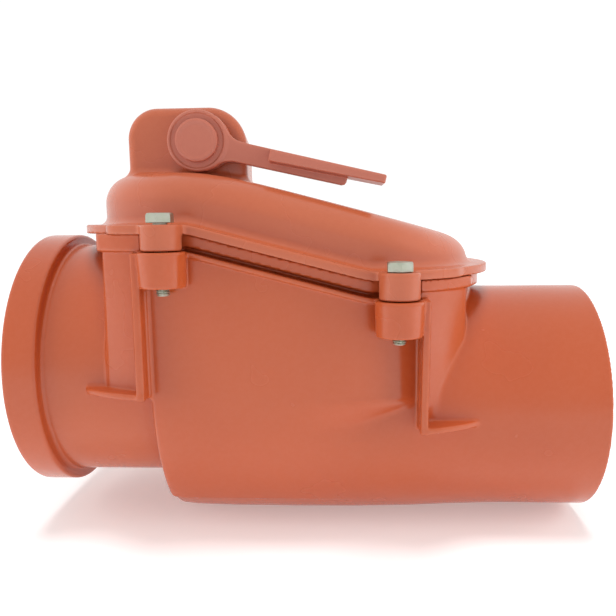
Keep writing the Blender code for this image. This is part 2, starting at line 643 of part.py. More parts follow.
# lock cam: points to the inlet while the lever lies down, drops when it stands
cam = rod(10.0, -7, 7, along_y(*SPINDLE), 24)
cam = add(cam, slab([(SPINDLE[0], SPINDLE[1] - 4.2)] +
                    [(SPINDLE[0] - CAM_LEN + 4.2 - 4.2 * math.sin(math.radians(a)), SPINDLE[1] - 4.2 * math.cos(math.radians(a)))
                     for a in range(0, 181, 20)] + [(SPINDLE[0], SPINDLE[1] + 4.2)], -6.5, 6.5, xz))
cam = cut(cam, rod(SPINDLE_R + 0.3, -10, 10, along_y(*SPINDLE), 24),
          rod(1.8, SPINDLE[1] - 14, SPINDLE[1] + 14, along_z(SPINDLE[0], 0), 16))
finish(cam, "lock_cam", WHITE, 0.5, 0.0, S_O, lever_axis)
cpin = rod(1.5, SPINDLE[1] - 9.6, SPINDLE[1] + 9.6, along_z(SPINDLE[0], 0), 16)
finish(cpin, "cam_cross_pin", STEEL, 0.35, 1.0, S_O, lever_axis)

# -------------------------------------------------------------------- flap
plate = turned([(-1.5, 0), (-1.5, FLAP_R - 0.6), (-0.9, FLAP_R), (2.5, FLAP_R), (2.5, 0)], on_flap(FLAP_S, 0), 40)
for s in SIDES:
    lug = slab([(-3.6, 4.4), (0.4, 5.6), (4.2, 3.8), (6.8, 0.6), (40, 0.6), (40, -2.2), (9, -8.5), (2.0, -6.6),
                (-3.0, -4.9), (-5.5, -1.2), (-5.6, 1.6)], 14.0, 20.0, lambda a, b, t: flap_at(a, t * s, b))
    plate = add(plate, lug)
horn = slab([(-176.1, 103.2), (-172.0, 103.2), (-168.3, 92.0), (-167.6, 74.0), (-171.0, 46.0), (-174.6, 46.0),
             (-176.0, 68.0), (-178.6, 74.4), (-181.4, 76.2), (-182.8, 79.8), (-181.6, 83.4), (-178.4, 85.8),
             (-176.1, 88.0)], -5.0, 5.0, xz)
plate = add(plate, horn)
for yy in (-28.0, 28.0):
    rib = slab([(24, 0.4), (92, 0.4), (92, -2.4), (80, -5.2), (36, -5.2), (24, -2.4)], yy - 1.4, yy + 1.4,
               lambda a, b, t: flap_at(a, t, b))
    plate = add(plate, rib)
rib = slab([(-46, 0.6), (46, 0.6), (46, -2.4), (40, -4.7), (-40, -4.7), (-46, -2.4)], FLAP_S - 1.4, FLAP_S + 1.4,
           lambda a, b, t: flap_at(t, a, b))
plate = add(plate, rib)
rib = slab([(36, 0.4), (104, 0.4), (104, -2.4), (92, -5.2), (36, -5.2)], -1.4, 1.4, lambda a, b, t: flap_at(a, t, b))
plate = add(plate, rib)
SCREWS = [(FLAP_S + 41.5 * math.cos(math.radians(a)), 41.5 * math.sin(math.radians(a))) for a in range(0, 360, 60)]
plate = cut(plate, rod(PIN_R + 0.9, -5.5, 5.5, along_y(*HINGE), 16))
for s in SIDES:
    plate = cut(plate, rod(PIN_R + 1.3, s * 13, s * 21, along_y(*HINGE), 16))
for sx, sy in SCREWS:
    plate = cut(plate, rod(1.8, 0.2, 4.0, on_flap(sx, sy), 10))
finish(plate, "flap_plate", WHITE, 0.45, 0.0, H_O, flap_axis)

bushes = [turned([(s * 14.0, PIN_R + 0.08), (s * 14.0, PIN_R + 1.0), (s * 20.3, PIN_R + 1.0), (s * 20.3, PIN_R + 0.08)],
                 along_y(*HINGE), 16, ring=True) for s in SIDES]
finish_all(bushes, "flap_hinge_bush", WHITE, 0.5, 0.0, H_O, flap_axis)

fseal = turned([(2.8, 35.0), (2.8, 54.0), (3.6, 54.2), (4.6, 53.9), (5.45, 52.6), (4.9, 51.2), (4.4, 50.2), (4.4, 35.0)],
               on_flap(FLAP_S, 0), 40, ring=True)
keeper = turned([(4.7, 36.0), (4.7, 48.6), (5.9, 48.9), (6.6, 48.2), (6.6, 36.0)], on_flap(FLAP_S, 0), 40, ring=True)
for sx, sy in SCREWS:
    fseal = cut(fseal, rod(1.8, 1, 9, on_flap(sx, sy), 8))
    keeper = cut(keeper, rod(1.8, 1, 9, on_flap(sx, sy), 8))
finish(fseal, "flap_seal", RUBBER, 0.65, 0.0, H_O, flap_axis)
finish(keeper, "seal_keeper_ring", STEEL, 0.3, 1.0, H_O, flap_axis)
screws = [turned([(0.5, 0), (0.5, 1.5), (6.9, 1.5), (6.9, 3.4), (8.0, 3.0), (8.6, 1.9), (8.6, 0)], on_flap(sx, sy), 8)
          for sx, sy in SCREWS]
finish_all(screws, "keeper_screw", STEEL, 0.3, 1.0, H_O, flap_axis)
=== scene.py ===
"""Backwater valve DN110: surfaces, materials, floor, light and camera.

The moulded shells are built as solids described by distance functions, in
millimetres, with true radii where walls meet, and turned into meshes here.
"""
import json
import math

import bpy
import numpy as np
from mathutils import Matrix, Vector


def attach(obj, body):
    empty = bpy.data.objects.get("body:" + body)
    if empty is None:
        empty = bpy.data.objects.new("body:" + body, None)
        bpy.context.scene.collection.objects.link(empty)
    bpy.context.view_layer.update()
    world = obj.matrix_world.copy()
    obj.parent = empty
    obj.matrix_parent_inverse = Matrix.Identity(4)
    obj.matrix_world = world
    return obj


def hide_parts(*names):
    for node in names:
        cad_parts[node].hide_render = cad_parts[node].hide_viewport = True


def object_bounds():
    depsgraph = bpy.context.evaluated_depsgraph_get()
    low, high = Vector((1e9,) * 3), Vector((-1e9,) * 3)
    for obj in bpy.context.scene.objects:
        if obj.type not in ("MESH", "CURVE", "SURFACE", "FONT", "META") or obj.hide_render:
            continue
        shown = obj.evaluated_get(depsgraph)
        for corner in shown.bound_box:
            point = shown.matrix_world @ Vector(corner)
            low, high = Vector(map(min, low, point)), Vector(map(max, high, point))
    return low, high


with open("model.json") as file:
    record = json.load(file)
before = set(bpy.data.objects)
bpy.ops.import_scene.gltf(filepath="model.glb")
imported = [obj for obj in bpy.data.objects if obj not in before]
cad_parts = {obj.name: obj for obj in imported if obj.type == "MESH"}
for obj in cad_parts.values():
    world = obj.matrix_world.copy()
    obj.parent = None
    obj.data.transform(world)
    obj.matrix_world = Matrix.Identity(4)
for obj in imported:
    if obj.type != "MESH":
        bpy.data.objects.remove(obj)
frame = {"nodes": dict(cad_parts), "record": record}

cad_lo, cad_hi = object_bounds()
MM = 0.001

# ------------------------------------------------------------- dimensions, mm
INLET_Z = 19.9
CL, CR = -173.8, -115.4
OUT_C = -116.3
LAND_L_X, LAND_R_X, LAND_L_Z, LAND_R_Z = -182.0, -104.5, 88.4, 67.9
FLANGE_T, FLANGE_R, COLLAR_R = 3.9, 69.0, 65.0
DOME_TOP, DOME_KNEE, DOME_SLOPE = 110.6, -174.0, 0.2722
BOLTS = [(-190.0, 88.4), (-94.0, 67.9)]
BOLT_Y = 72.0
SP = (-180.8, 124.4)
HP = (-177.0, 80.0)
TILT = math.radians(8.0)
DX, DZ = math.sin(TILT), -math.cos(TILT)
NX, NZ = -math.cos(TILT), -math.sin(TILT)
COS = 0.967


# ------------------------------------------------------ distance function kit
def smooth(t):
    t = np.clip(t, 0.0, 1.0)
    return t * t * (3 - 2 * t)


def joined(a, b, r):
    """Union with a concave fillet of radius r."""
    u, v = np.maximum(r - a, 0.0), np.maximum(r - b, 0.0)
    return np.maximum(r, np.minimum(a, b)) - np.hypot(u, v)


def common(a, b, r):
    """Intersection with a convex edge of radius r."""
    u, v = np.maximum(r + a, 0.0), np.maximum(r + b, 0.0)
    return np.minimum(-r, np.maximum(a, b)) + np.hypot(u, v)


def less(a, b, r):
    return common(a, -b, r)


def polygon(px, py, pts):
    """Signed distance to a closed outline in the plane."""
    d = np.full(px.shape, 1e18)
    s = np.ones(px.shape)
    n = len(pts)
    for i in range(n):
        ax, ay = pts[i]
        bx, by = pts[i - 1]
        ex, ey = bx - ax, by - ay
        wx, wy = px - ax, py - ay
        t = np.clip((wx * ex + wy * ey) / (ex * ex + ey * ey), 0, 1)
        d = np.minimum(d, (wx - ex * t) ** 2 + (wy - ey * t) ** 2)
        c1, c2, c3 = py >= ay, py < by, ex * wy > ey * wx
        flip = (c1 & c2 & c3) | (~c1 & ~c2 & ~c3)
        s = np.where(flip, -s, s)
    return s * np.sqrt(d)


def plate(d, lo, hi, t, r, r_hi=None):
    """Outline d extruded from lo to hi along t, with edges of radius r."""
    return common(common(d, lo - t, r), t - hi, r if r_hi is None else r_hi)


def flange_z(x):
    t = np.clip((x - LAND_L_X) / (LAND_R_X - LAND_L_X), 0, 1)
    # soft knees where the lands meet the slope
    k = 0.035
    t = t + k * np.exp(-((t) / k) ** 2) * 0.35 - k * np.exp(-((1 - t) / k) ** 2) * 0.35
    return LAND_L_Z + (LAND_R_Z - LAND_L_Z) * np.clip(t, 0, 1)


def dome_top(x):
    u = (x - DOME_KNEE) / 9.0
    soft = np.where(u > 6, u, np.log1p(np.exp(np.minimum(u, 6)))) * 9.0
    return DOME_TOP + 0.25 - DOME_SLOPE * soft


def oval(x, y):
    """Distance from the cover's centre line; less a radius it is the outline."""
    dx = np.maximum(x - CR, 0) + np.minimum(x - CL, 0)
    return np.hypot(dx, y)


def tower(z):
    return 56.6 + 3.4 * smooth((z + 8) / 36) + 1.0 * smooth((z - 28) / 45)


def surface(f, lo, hi, h):
    """Vertices and quads of f = 0 inside a box, from a grid of spacing h."""
    lo = np.array(lo, float)
    n = (np.ceil((np.array(hi, float) - lo) / h / 4).astype(int) + 1) * 4
    nb = n // 4
    blocks = np.indices(nb).reshape(3, -1).T
    mid = lo + (blocks * 4 + 1.5) * h
    fc = f(mid[:, 0], mid[:, 1], mid[:, 2])
    grid = np.repeat(np.repeat(np.repeat(fc.reshape(nb).astype(np.float32), 4, 0), 4, 1), 4, 2)
    near = blocks[np.abs(fc) < 5.6 * h]
    off = np.indices((4, 4, 4)).reshape(3, -1).T
    for a in range(0, len(near), 6000):
        q = (near[a:a + 6000, None, :] * 4 + off[None]).reshape(-1, 3)
        p = lo + q * h
        grid[q[:, 0], q[:, 1], q[:, 2]] = f(p[:, 0], p[:, 1], p[:, 2])
    inside = grid < 0
    s = inside.astype(np.uint8)
    c = sum(s[i:n[0] - 1 + i, j:n[1] - 1 + j, k:n[2] - 1 + k] for i in (0, 1) for j in (0, 1) for k in (0, 1))
    cells = np.argwhere((c > 0) & (c < 8))
    corner = np.array([(i, j, k) for i in (0, 1) for j in (0, 1) for k in (0, 1)])
    at = cells[:, None, :] + corner[None]
    val = grid[at[..., 0], at[..., 1], at[..., 2]].astype(float)
    total, hits = np.zeros((len(cells), 3)), np.zeros(len(cells))
    for a in range(8):
        for b in range(a + 1, 8):
            if np.abs(corner[a] - corner[b]).sum() != 1:
                continue
            va, vb = val[:, a], val[:, b]
            cross = (va < 0) != (vb < 0)
            t = np.where(cross, va / np.where(cross, va - vb, 1.0), 0.0)
            total += cross[:, None] * (corner[a] + t[:, None] * (corner[b] - corner[a]))
            hits += cross
    verts = lo + (cells + total / hits[:, None]) * h
    ids = np.full(n - 1, -1, np.int32)
    ids[cells[:, 0], cells[:, 1], cells[:, 2]] = np.arange(len(cells))
    quads = []
    rounds = [[(0, -1, -1), (0, 0, -1), (0, 0, 0), (0, -1, 0)],
              [(-1, 0, -1), (-1, 0, 0), (0, 0, 0), (0, 0, -1)],
              [(-1, -1, 0), (0, -1, 0), (0, 0, 0), (-1, 0, 0)]]
    for axis in range(3):
        first = [slice(1, -1)] * 3
        second = [slice(1, -1)] * 3
        first[axis], second[axis] = slice(0, -1), slice(1, None)
        one, two = inside[tuple(first)], inside[tuple(second)]
        base = np.array([0 if k == axis else 1 for k in range(3)])
        for solid_first in (True, False):
            e = np.argwhere((one & ~two) if solid_first else (~one & two)) + base
            q = np.stack([ids[tuple((e + o).T)] for o in rounds[axis]], 1)
            quads.append(q if solid_first else q[:, ::-1])
    quads = np.concatenate(quads)
    return verts, quads[(quads >= 0).all(1)]


def slope_of(f, p, e):
    g = np.empty_like(p)
    for k in range(3):
        a, b = p.copy(), p.copy()
        a[:, k] += e
        b[:, k] -= e
        g[:, k] = (f(*a.T) - f(*b.T)) / (2 * e)
    return g


def pull(f, p, h, rounds=2):
    """Move points onto the surface."""
    for _ in range(rounds):
        g = slope_of(f, p, 0.12 * h)
        m = (g * g).sum(1)
        step = f(*p.T) / np.maximum(m, 0.2)
        p = p - np.clip(step, -0.45 * h, 0.45 * h)[:, None] * g
    return p


def fresh_mesh(name, verts, faces):
    """Mesh from arrays of points (millimetres) and faces of one size."""
    me = bpy.data.meshes.new(name)
    k = faces.shape[1]
    me.vertices.add(len(verts))
    me.vertices.foreach_set("co", (verts * MM).astype(np.float32).ravel())
    me.loops.add(faces.size)
    me.loops.foreach_set("vertex_index", faces.astype(np.int32).ravel())
    me.polygons.add(len(faces))
    me.polygons.foreach_set("loop_start", np.arange(0, faces.size, k, dtype=np.int32))
    me.update(calc_edges=True)
    me.validate()
    return me


def moulded(name, f, lo, hi, h, hidden=None, keep=1.0):
    """Object of a moulded piece: the surface of f, thinned on its hidden inner faces."""
    step = h * 1.0
    verts, quads = surface(f, lo, hi, step)
    verts = pull(f, verts, step)
    me = fresh_mesh(name, verts, quads)
    ob = bpy.data.objects.new(name, me)
    bpy.context.scene.collection.objects.link(ob)
    if hidden is not None:
        group = ob.vertex_groups.new(name="inner")
        group.add(np.nonzero(hidden(*verts.T))[0].tolist(), 1.0, 'REPLACE')
        mod = ob.modifiers.new("thin", 'DECIMATE')
        mod.vertex_group = "inner"
        mod.ratio = keep
        dg = bpy.context.evaluated_depsgraph_get()
        thin = bpy.data.meshes.new_from_object(ob.evaluated_get(dg))
        ob.modifiers.clear()
        ob.vertex_groups.clear()
        ob.data = thin
        thin.name = name
        me = thin
        p = np.empty(len(me.vertices) * 3, np.float32)
        me.vertices.foreach_get("co", p)
        p = pull(f, p.reshape(-1, 3).astype(float) / MM, step * 0.5, 1)
        me.vertices.foreach_set("co", (p * MM).astype(np.float32).ravel())
        me.update()
    p = np.empty(len(me.vertices) * 3, np.float32)
    me.vertices.foreach_get("co", p)
    p = p.reshape(-1, 3).astype(float) / MM
    g = slope_of(f, p, 0.5 * step)
    length = np.linalg.norm(g, axis=1)[:, None]
    g = g / np.maximum(length, 1e-6)
    # how closed in a point is, 0 in the open and 1 far into a corner: painted shade, darkening the colour where shade
    # falls in corners
    painted_corner_shade = sum(np.clip(1 - f(*(p + g * r).T) / r, 0, 1) for r in (1.5, 3.5, 7.0)) / 3
    # how thin an edge is, where material falls away behind it: a painted highlight that pales thin edges
    painted_edge_highlight = np.clip(1 + f(*(p - g * 1.6).T) / 1.6, 0, 1)
    for key, value in (("corner", painted_corner_shade), ("rim", painted_edge_highlight)):
        me.attributes.new(key, 'FLOAT', 'POINT').data.foreach_set("value", value.astype(np.float32))
    me.shade_smooth()
    me.normals_split_custom_set_from_vertices(g.astype(np.float32))
    return ob


# -------------------------------------------------------------- the valve body
def rim_top(x):
    return flange_z(x) - FLANGE_T - 0.10


def shelf_top(x):
    return flange_z(x) - 11.2


def barrel_r(x):
    return np.interp(x, [-199.6, -196, -190, -172, -140, -110, -84, -62, -46, -36, 0],
                     [55.6, 56.3, 56.9, 57.3, 57.5, 57.3, 56.6, 55.6, 55.1, 55.0, 55.0])


def inlet_plan(x, y, r, x_end, round_plan, x_in=-199.0):
    """Corner at the inlet end in plan: an arc cut off square at x_end."""
    d = common(np.hypot(x + 186.5, y) - r, x_end - x, round_plan)
    return np.maximum(np.maximum(d, x - x_in), 42.0 - y)


def outlet_plan(x, y, r, x_end, round_plan, x_in=-84.5):
    """The same at the outlet end, reaching in to the round end of the tower."""
    d = common(np.hypot(x - OUT_C, y) - r, x - x_end, round_plan)
    return np.maximum(np.maximum(d, x_in - x), 18.0 - y)


def body_f(x, y, z):
    y = np.abs(y)
    q = oval(x, y)
    rho0 = np.hypot(y, z)
    rho1 = np.hypot(y, z - INLET_Z)
    barrel = common(rho0 - barrel_r(x), -(x + 199.6), 3.2)
    barrel = common(barrel, x, 0.8)
    wall = np.maximum(q - tower(z), np.maximum(-7.0 - z, (z - rim_top(x) + 1.0) * COS))
    wall = np.maximum(wall, -np.maximum(x + 200.0, z - 15.6))
    d = joined(barrel, wall, 1.6)
    drop = 7.0 - 1.7 * smooth((x + 186) / 4) + 1.0 * smooth((x + 98) / 4)
    top = rim_top(x)
    collar = common(q - COLLAR_R, (top - drop - z) * COS, 0.8)
    collar = common(collar, (z - top) * COS, 0.4)
    d = joined(d, collar, 0.8)
    column = plate(inlet_plan(x, y, 68.0, -219.5 - 1.8 * (80.0 - z) / 65.0, 2.4), 15.2, 80.0, z, 0.3)
    cap = plate(inlet_plan(x, y, 70.6, -221.4, 3.0), 77.2, 84.43, z, 0.7, 0.25)
    d = joined(d, joined(column, cap, 0.7), 1.0)
    column = plate(outlet_plan(x, y, 68.7 - 1.4 * smooth((12 - z) / 14), -61.0, 3.4), -0.7, 61.0, z, 0.3)
    cap = plate(outlet_plan(x, y, 70.6, -58.6, 3.0, -84.7), 59.0, 63.93, z, 0.7, 0.25)
    d = joined(d, joined(column, cap, 0.7), 1.0)
    # side walls, fading into the barrel low down and behind the outlet corner
    out = 66.3 - 16.2 * (np.maximum(18.0 - z, 0) / 48.0) ** 2
    near = np.where(z < -2, np.sqrt(np.maximum(54.6 ** 2 - z * z, 1.0)), 54.6 + 11.0 * smooth((z + 2) / 16))
    side = np.hypot(np.maximum(x - OUT_C, 0) + np.minimum(x + 186.5, 0), y) - (near + (out - near) * smooth((-84.5 - x) / 62.0))
    side = common(side * 0.88, -(x + 199.9 + 2.6 * smooth((z - 12) / 4)), 2.6)
    side = np.maximum(side, np.maximum(x + 84.1, (z - shelf_top(x) + 1.0) * COS))
    side = np.maximum(side, np.maximum(-41.0 - z, 40.0 - y))
    d = joined(d, side, 1.8)
    ridge = common(q - 68.3, (shelf_top(x) - 2.2 - z) * COS, 0.9)
    ridge = common(ridge, (z - shelf_top(x)) * COS, 0.7)
    ridge = np.maximum(ridge, np.maximum(-187.0 - x, x + 99.0))
    ridge = np.maximum(ridge, 50.0 - y)
    d = joined(d, ridge, 0.8)
    for bx, land in BOLTS:
        head = land - 11.2
        boss = np.hypot(x - bx, y - BOLT_Y) - (10.0 - 0.03 * (head - z))
        boss = plate(boss, head - 14.6, head, z, 0.8)
        d = joined(d, boss, 1.0)
    fin = np.maximum(y - (73.2 - (z - 15.0) / 61.6), 40.0 - y)
    fin = plate(fin, -203.3, -199.7, x, 0.8)
    fin = np.maximum(fin, np.maximum(15.0 - z, z - 76.6))
    d = joined(d, fin, 0.7)
    fin = np.maximum(y - (67.2 + (z + 1.2) * 5.0 / 57.5), 42.0 - y)
    fin = plate(fin, -84.3, -81.1, x, 0.8)
    fin = np.maximum(fin, np.maximum(-1.2 - z, z - 56.3))
    d = joined(d, fin, 0.7)
    foot = common(np.hypot(x + 186.5, y) - 74.6, -229.5 - x, 1.6)
    foot = np.maximum(np.maximum(foot, x + 200.0), 40.0 - y)
    foot = np.maximum(foot, y - 73.3)
    d = joined(d, plate(foot, 15.0, 17.6, z, 0.8), 0.8)
    edge = np.interp(x, [-84, -80.2, -75.8, -70, -64, -59, -54], [67.3, 67.2, 66.3, 63.6, 60.3, 56.6, 52.0])
    foot = np.maximum((y - edge) * 0.82, np.maximum(-84.0 - x, x + 54.0))
    foot = np.maximum(foot, 42.0 - y)
    d = joined(d, plate(foot, -0.9, 1.75, z, 0.8), 0.8)
    # inside of the barrel, tower and spigot
    inner_r = np.interp(x, [-196.2, -193.1, -170, -120, -84, -60, -42, 5], [52.2, 53.2, 54.1, 54.1, 53.3, 52.3, 51.8, 51.8])
    hollow = common(rho0 - inner_r, -(x + 196.2), 2.5)
    low = np.maximum(q - (tower(z) - 3.2), -5.0 - z)
    low = np.maximum(low, -np.maximum(x + 196.3, z - 20.4))
    low = np.maximum(low, np.minimum(z - 58.5, 999))
    high = np.maximum(q - 57.6, 58.0 - z)
    hollow = np.minimum(hollow, np.minimum(low, high))
    d = less(d, hollow, 0.5)
    slot = np.maximum(np.abs(q - 61.3) - 1.6, top - 2.3 - z)
    d = less(d, slot, 0.2)
    # inlet socket with its bead, and the tube that carries the seat
    bead = common(common(rho1 - 63.05, -(x + 266.1), 1.3), x + 250.6, 1.4)
    pipe = np.maximum(rho1 - 57.9, np.maximum(-(x + 262.0), x + 197.6))
    d = joined(d, joined(bead, pipe, 1.4), 1.6)
    cx, cz = HP[0] + 5.75 * NX, HP[1] + 5.75 * NZ
    seat = (x - (cx + (z - cz) * DX / DZ)) * math.cos(TILT)
    tube = np.maximum(common(rho1 - 54.4, seat, 0.5), -(x + 199.1))
    d = joined(d, tube, 1.2)
    ear = polygon(x, z, [(-198.2, 66.9), (-184.9, 66.9), (-183.3, 73.5), (-181.0, 76.2), (-177.5, 74.9), (-173.4, 76.4),
                         (-171.9, 80.2), (-173.4, 83.8), (-177.2, 85.2), (-182.0, 84.4), (-198.2, 76.0)])
    d = joined(d, plate(ear, 21.0, 25.0, y, 0.4), 0.8)
    mouth = np.interp(x, [-270, -266.1, -263.9, -263.0], [59.2, 56.9, 55.4, 55.3])
    bore = common(rho1 - mouth, x + 206.0, 0.4)
    bore = np.minimum(bore, np.maximum(rho1 - 51.0, x + 150.0))
    d = less(d, bore, 0.5)
    groove = np.maximum(rho1 - 59.9, np.abs(x + 257.9) - 4.7)
    d = less(d, groove, 0.3)
    d = less(d, np.maximum(np.hypot(x - HP[0], z - HP[1]) - 2.6, y - 40.0), 0.2)
    for bx, land in BOLTS:
        low_z = land - 25.8
        r = np.hypot(x - bx, y - BOLT_Y)
        d = less(d, np.maximum(r - 3.3, low_z - 6 - z), 0.3)
        hx, hy = np.abs(x - bx), np.abs(y - BOLT_Y)
        hexa = np.maximum(hx * 0.5 + hy * 0.8660254, hx) - 5.3
        d = less(d, np.maximum(hexa, np.maximum(z - low_z - 6.6, low_z - 0.5 - z)), 0.25)
    return d


def body_inner(x, y, z):
    """Faces of the body that only the water sees."""
    y = np.abs(y)
    run = (x > -194.0) & (x < -7.0) & (np.hypot(y, z) < 54.6)
    shaft = (oval(x, y) < 58.6) & (x > -194.0) & (x < -60.0) & (z > -4.0) & (z < flange_z(x) - 12.0)
    mouth = (np.hypot(y, z - INLET_Z) < 55.9) & (x > -248.0) & (x < -190.0)
    return run | shaft | mouth


# ------------------------------------------------------------------- the cover
def cover_f(x, y_in, z):
    y = np.abs(y_in)
    q = oval(x, y)
    ft = flange_z(x)
    plan = joined(q - FLANGE_R, inlet_plan(x, y, 72.0, -216.3, 6.0, -190.0), 3.0)
    plan = joined(plan, outlet_plan(x, y, 72.0, -65.0, 4.0, -93.0), 2.0)
    for bx, land in BOLTS:
        plan = joined(plan, np.hypot(x - bx, y - BOLT_Y) - 8.3, 2.6)
    flange = common(plan, (z - ft) * COS, 0.9)
    flange = common(flange, (ft - FLANGE_T - z) * COS, 0.25)
    for bx, land in BOLTS:
        boss = np.hypot(x - bx, y - BOLT_Y) - 8.3
        flange = np.minimum(flange, plate(boss, land - 10.75, land - 1.5, z, 0.6))
    dt = dome_top(x)
    rise = dt - ft
    soft = np.minimum(13.0, 0.85 * rise)
    dome = common(q - 59.5, (z - dt) * COS, soft)
    dome = np.maximum(dome, (ft - z) * COS)
    d = joined(flange, dome, 3.7)
    lean = 5.5 * (y_in + 30.0) / 60.0
    hub = common(z - 140.4, -(x + 215.2), 14.0)
    hub = common(hub, x + 160.0 + lean, 17.5)
    hub = common(hub, -y_in - 30.0, 4.0)
    hub = common(hub, y_in - 30.0, 7.0)
    hub = np.maximum(hub, 100.0 - z)
    d = joined(d, hub, 3.4)
    inner = common(q - 56.6, (z - dt + 3.0) * COS, np.maximum(soft - 1.8, 3.0))
    d = less(d, inner, 0.5)
    cave = common(z - 136.8, -(x + 211.6), 10.4)
    cave = common(cave, x + 163.6 + lean, 13.9)
    cave = np.maximum(np.maximum(cave, y - 26.4), 95.0 - z)
    d = less(d, cave, 0.8)
    r = np.hypot(x - SP[0], z - SP[1])
    d = joined(d, plate(r - 11.0, 19.0, 28.0, y, 0.4), 0.8)
    hole = np.maximum(r - 8.2, np.where(y_in < 0, 15.0 - y, np.maximum(15.0 - y, y - 27.6)))
    d = less(d, hole, 0.3)
    for bx, land in BOLTS:
        d = less(d, np.hypot(x - bx, y - BOLT_Y) - 3.3, 0.3)
    return d


# ------------------------------------------------------------------- the lever
LA = math.radians(-13.3)
LC, LS = math.cos(LA), math.sin(LA)


def lever_f(x, y, z):
    dx, dz = x - SP[0], z - SP[1]
    u, v = dx * LC + dz * LS, -dx * LS + dz * LC
    r = np.hypot(dx, dz)
    eye = plate(r - 13.4, -39.4, -31.0, y, 0.8)
    ground = polygon(u, v, [(6.6, 11.5), (9.9, 9.4), (11.2, 8.0), (12.8, 6.3), (14.8, 4.9), (17.2, 4.0), (20.0, 3.62), (34.5, 3.58),
                            (36.0, 1.0), (68.5, 0.9), (68.5, -3.2), (67.9, -4.4), (66.6, -4.96), (26.5, -5.33), (17.2, -5.42),
                            (14.0, -6.3), (11.6, -7.9), (9.8, -9.6), (6.6, -11.5), (0.0, -9.0), (0.0, 9.0)])
    web = plate(ground, -39.0, -32.0, y, 0.6)
    d = joined(eye, web, 1.2)
    under = v - (-2.2 + (u - 35.0) * 0.0303)
    grip = common(common(v - 2.97, u - 84.8, 0.9), 33.6 - u, 0.5)
    grip = common(grip, -under, 0.4)
    grip = common(grip, np.abs(y + 35.5) - 12.0, 0.9)
    d = joined(d, grip, 0.7)
    square = np.maximum(np.abs(u), np.abs(v)) - 4.0
    d = less(d, square, 0.2)
    d = less(d, np.maximum(r - 7.6, y + 36.9), 0.25)
    # shallow step inside the raised rim of the eye
    tray = plate(r - 11.9, -60.0, -38.75, y, 0.5)
    return less(d, tray, 0.5)


# ------------------------------------------------------------- turned pieces
def turned(name, profile, place, n=96, ring=False, phase=0.0, sharp=32):
    """Mesh turned from (t, r) points; place maps arrays t, a, b to x, y, z."""
    ang = 2 * np.pi * np.arange(n) / n + phase
    verts, faces, rows = [], [], []
    for t, r in profile:
        if r <= 1e-9:
            rows.append([len(verts)] * n)
            verts.append(place(t, 0.0, 0.0))
        else:
            rows.append(list(range(len(verts), len(verts) + n)))
            verts += [place(t, r * math.cos(a), r * math.sin(a)) for a in ang]
    m = len(rows)
    for i in range(m if ring else m - 1):
        a, b = rows[i], rows[(i + 1) % m]
        for k in range(n):
            u = []
            for v in (a[k], a[(k + 1) % n], b[(k + 1) % n], b[k]):
                if v not in u:
                    u.append(v)
            if len(u) > 2:
                faces.append(u)
    me = bpy.data.meshes.new(name)
    me.from_pydata([tuple(c * MM for c in v) for v in verts], [], faces)
    import bmesh
    bm = bmesh.new()
    bm.from_mesh(me)
    bmesh.ops.recalc_face_normals(bm, faces=bm.faces)
    bm.to_mesh(me)
    bm.free()
    me.shade_smooth()
    me.set_sharp_from_angle(angle=math.radians(sharp))
    ob = bpy.data.objects.new(name, me)
    bpy.context.scene.collection.objects.link(ob)
    return ob


def rounded(points, radii, steps=4, loop=True):
    """Outline with each corner replaced by an arc of its own radius."""
    out = []
    n = len(points)
    for i, (p, r) in enumerate(zip(points, radii)):
        p = np.array(p, float)
        if r <= 0 or (not loop and i in (0, n - 1)):
            out.append(tuple(p))
            continue
        a, b = np.array(points[i - 1], float) - p, np.array(points[(i + 1) % n], float) - p
        la, lb = np.linalg.norm(a), np.linalg.norm(b)
        a, b = a / la, b / lb
        half = math.acos(max(-1, min(1, float(a @ b)))) / 2
        cut = min(r / math.tan(half), 0.48 * la, 0.48 * lb)
        for k in range(steps + 1):
            t = k / steps
            out.append(tuple(p + a * cut * (1 - t) ** 2 + b * cut * t ** 2))
    return out


def along_x(y0, z0):
    return lambda t, a, b: (t, y0 + a, z0 + b)


def along_y(x0, z0):
    return lambda t, a, b: (x0 + a, t, z0 + b)


def along_z(x0, y0):
    return lambda t, a, b: (x0 + a, y0 + b, t)


def on_flap(s0, y0):
    return lambda t, a, b: (HP[0] + (s0 + a) * DX + t * NX, y0 + b, HP[1] + (s0 + a) * DZ + t * NZ)


